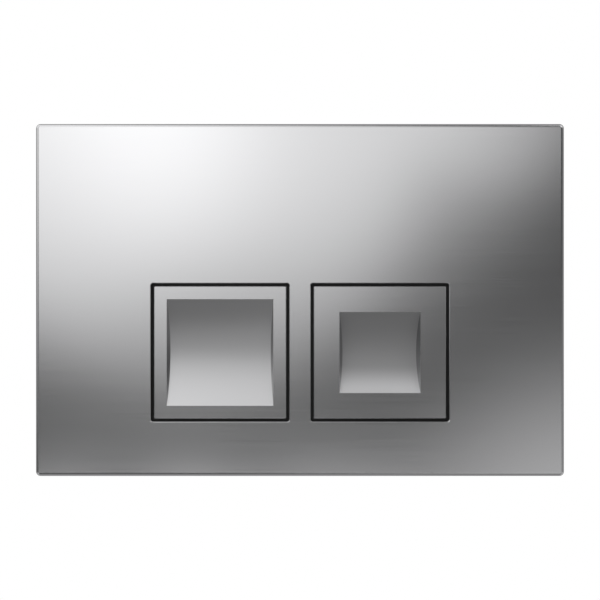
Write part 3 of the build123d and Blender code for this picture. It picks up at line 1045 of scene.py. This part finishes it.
def make_tent(stage):
    """A light tent round the plate that only reflections see, with soft lights on its cloth."""
    work = bmesh.new()
    bmesh.ops.create_icosphere(work, subdivisions=TENT_SUBDIVISIONS, radius=stage.tent_radius)
    mesh = mesh_of(work, "Light tent")
    material = bpy.data.materials.new("Tent cloth")
    material.use_nodes = True
    tree = material.node_tree
    tree.nodes.clear()
    towards = vector_of(tree, "NORMALIZE", object_place(tree))
    near_camera = vector_of(tree, "DOT_PRODUCT", towards, tuple(direction(0, 0)))
    darkest, plain = (cos(radians(angle)) for angle in DARK_ANGLES)
    level = smooth_range(tree, near_camera, plain, darkest, stage.tent_surround, stage.tent_base)
    for _, bearing, height, inner, outer, strength in TENT_LIGHTS:
        near = vector_of(tree, "DOT_PRODUCT", towards, tuple(direction(bearing, height)))
        light = smooth_range(tree, near, cos(radians(outer)), cos(radians(inner)), 0.0, strength)
        level = calculate(tree, "ADD", light, level)
    glow = add_node(tree, "ShaderNodeEmission")
    feed(tree, glow.inputs["Strength"], level)
    feed(tree, add_node(tree, "ShaderNodeOutputMaterial").inputs["Surface"], glow.outputs[0])
    mesh.materials.append(material)
    tent = bpy.data.objects.new("Light tent", mesh)
    bpy.context.scene.collection.objects.link(tent)
    tent.visible_camera = False
    tent.visible_diffuse = False
    tent.visible_transmission = False
    tent.visible_shadow = False


def make_lamps():
    """Large soft lamps that light the dull pieces; the metal shows the tent instead."""
    for name, place, size, power in LAMPS:
        lamp = bpy.data.lights.new(name, "AREA")
        lamp.shape = "DISK"
        lamp.size = size
        lamp.energy = power
        holder = bpy.data.objects.new(name, lamp)
        holder.location = place
        holder.rotation_euler = (-Vector(place)).to_track_quat("-Z", "Y").to_euler()
        holder.visible_glossy = False
        bpy.context.scene.collection.objects.link(holder)


def make_background(scene, stage):
    """White for the camera, for reflections and through clear pieces, and an even light elsewhere."""
    world = bpy.data.worlds.new("White studio")
    scene.world = world
    world.use_nodes = True
    tree = world.node_tree
    tree.nodes.clear()
    rays = add_node(tree, "ShaderNodeLightPath").outputs
    seen = calculate(tree, "MAXIMUM", rays["Is Camera Ray"], rays["Is Glossy Ray"])
    seen = calculate(tree, "MAXIMUM", seen, rays["Is Transmission Ray"])
    mix = add_node(tree, "ShaderNodeMixShader")
    feed(tree, mix.inputs["Fac"], seen)
    for socket, strength in zip(mix.inputs[1:], (stage.ambient, 1.0)):
        background = add_node(tree, "ShaderNodeBackground")
        feed(tree, background.inputs["Color"], (1, 1, 1, 1))
        feed(tree, background.inputs["Strength"], strength)
        feed(tree, socket, background.outputs[0])
    feed(tree, add_node(tree, "ShaderNodeOutputWorld").inputs["Surface"], mix.outputs[0])


def make_camera(scene, stage):
    """A camera square to the face, on its middle."""
    camera = bpy.data.cameras.new("Camera")
    camera.lens = camera.sensor_width * stage.camera_distance / stage.view_width
    holder = bpy.data.objects.new("Camera", camera)
    holder.location = (0, FACE_Y - stage.camera_distance, 0)
    holder.rotation_euler = (radians(90), 0, 0)
    scene.collection.objects.link(holder)
    scene.camera = holder


OPERATORS = (
    FLUSHPLATE_OT_cover,
    FLUSHPLATE_OT_buttons,
    FLUSHPLATE_OT_hinges,
    FLUSHPLATE_OT_rods,
    FLUSHPLATE_OT_frame,
    FLUSHPLATE_OT_bolts,
    FLUSHPLATE_OT_stage,
)


class FLUSHPLATE_PT_panel(bpy.types.Panel):
    """Steps and values of the flush button plate"""

    bl_idname = "FLUSHPLATE_PT_panel"
    bl_label = "Flush Button Plate"
    bl_space_type = "VIEW_3D"
    bl_region_type = "UI"
    bl_category = "Flush Plate"

    def draw(self, context):
        for operator in OPERATORS:
            self.layout.operator(operator.bl_idname)
        for group_name, cls in PROPERTY_GROUPS.items():
            box = self.layout.box()
            for name in cls.__annotations__:
                box.prop(getattr(context.scene, group_name), name)


CLASSES = (*PROPERTY_GROUPS.values(), *OPERATORS, FLUSHPLATE_PT_panel)


def register():
    """Registers the classes and hangs the values on the scene."""
    for cls in CLASSES:
        bpy.utils.register_class(cls)
    for name, cls in PROPERTY_GROUPS.items():
        setattr(bpy.types.Scene, name, PointerProperty(type=cls))


def unregister():
    """Takes the values off the scene and unregisters the classes."""
    for name in PROPERTY_GROUPS:
        delattr(bpy.types.Scene, name)
    for cls in reversed(CLASSES):
        bpy.utils.unregister_class(cls)


def main():
    """Makes every piece and the stage, in order."""
    register()
    for operator in OPERATORS:
        group, name = operator.bl_idname.split(".")
        getattr(getattr(bpy.ops, group), name)()


if __name__ == "__main__":
    main()
